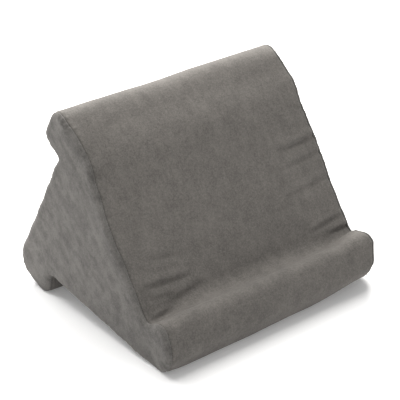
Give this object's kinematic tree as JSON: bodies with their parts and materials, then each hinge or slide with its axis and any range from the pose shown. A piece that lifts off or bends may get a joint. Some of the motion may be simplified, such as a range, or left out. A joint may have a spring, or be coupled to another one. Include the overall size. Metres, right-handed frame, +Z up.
{
  "type": "tablet stand",
  "caption": "Soft three-sided pillow stand for a tablet: a wedge with a rolled ledge at each edge, so it gives three slopes, in a zipped fabric cover over a foam core.",
  "frame": {"origin": "bottom centre of the whole stand's box, on the surface it stands on", "axes": "+X along the width, to the user's right; -Y towards the user; +Z up"},
  "size_m": [0.2816, 0.2504, 0.2146],
  "materials": {
    "cover_fabric": "matte",
    "foam": "matte",
    "sewing_thread": "matte",
    "zip_tape": "matte",
    "zip_nylon": "satin",
    "zip_metal": "satin",
    "label_satin": "satin"
  },
  "bodies": {
    "stand": {"foam_core": "foam", "wrap_panel": "cover_fabric", "end_panel_left": "cover_fabric", "end_panel_right": "cover_fabric", "seam_thread_left": "sewing_thread", "seam_thread_right": "sewing_thread", "zip_tape_front": "zip_tape", "zip_tape_rear": "zip_tape", "zip_teeth_front": "zip_nylon", "zip_teeth_rear": "zip_nylon", "zip_top_stop_front": "zip_metal", "zip_top_stop_rear": "zip_metal", "zip_bottom_stop": "zip_metal", "zip_stitching_front": "sewing_thread", "zip_stitching_rear": "sewing_thread", "bartack_left": "sewing_thread", "bartack_right": "sewing_thread", "care_label": "label_satin"},
    "slider": {"zip_slider": "zip_metal"},
    "pull_tab": {"zip_pull_tab": "zip_metal"}
  },
  "joints": [
    {"name": "zip_slide", "type": "slide", "parent": "stand", "child": "slider", "axis": [-1, 0, 0], "range_m": [0, 0.2165], "deforming": ["zip_teeth_front", "zip_teeth_rear"]},
    {"name": "pull_hinge", "type": "hinge", "parent": "slider", "child": "pull_tab", "pos_m": [0.1085, 0.03306, 0.01709], "axis": [0, 0.9881, 0.1538], "range_deg": [-85, 85]}
  ]
}
